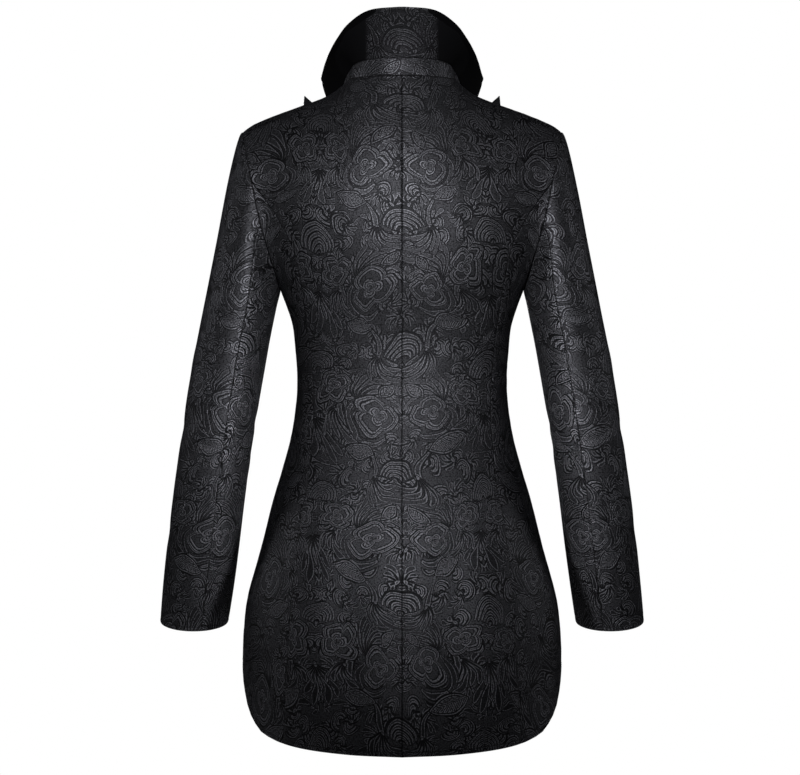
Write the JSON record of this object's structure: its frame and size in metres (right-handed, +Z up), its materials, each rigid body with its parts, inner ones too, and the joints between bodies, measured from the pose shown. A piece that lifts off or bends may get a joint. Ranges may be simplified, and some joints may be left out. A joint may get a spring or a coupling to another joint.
{
  "type": "tailcoat",
  "caption": "Fitted tailcoat in brocade with a tall flared collar, peaked lapels, two-piece sleeves and a rounded flared tail, filled out as if worn.",
  "frame": {"origin": "inside the neck, level with the place where the collar's wings cross the shoulder line, where the coat is held", "axes": "+Z up, the front faces -Y, the wearer's left is +X"},
  "size_m": [0.598, 0.2975, 0.9148],
  "materials": {
    "brocade": "woven satin figure on a matt ground",
    "plain_cloth": "matt",
    "button_horn": "satin"
  },
  "bodies": {
    "root": {"back_left": "brocade", "side_back_left": "brocade", "front_left": "brocade", "top_sleeve_left": "brocade", "under_sleeve_left": "brocade", "lapel_left": "plain_cloth", "back_right": "brocade", "side_back_right": "brocade", "front_right": "brocade", "top_sleeve_right": "brocade", "under_sleeve_right": "brocade", "lapel_right": "plain_cloth", "collar_stand": "brocade", "collar_fall": "brocade", "button_1": "button_horn", "button_2": "button_horn", "button_3": "button_horn"}
  },
  "joints": []
}
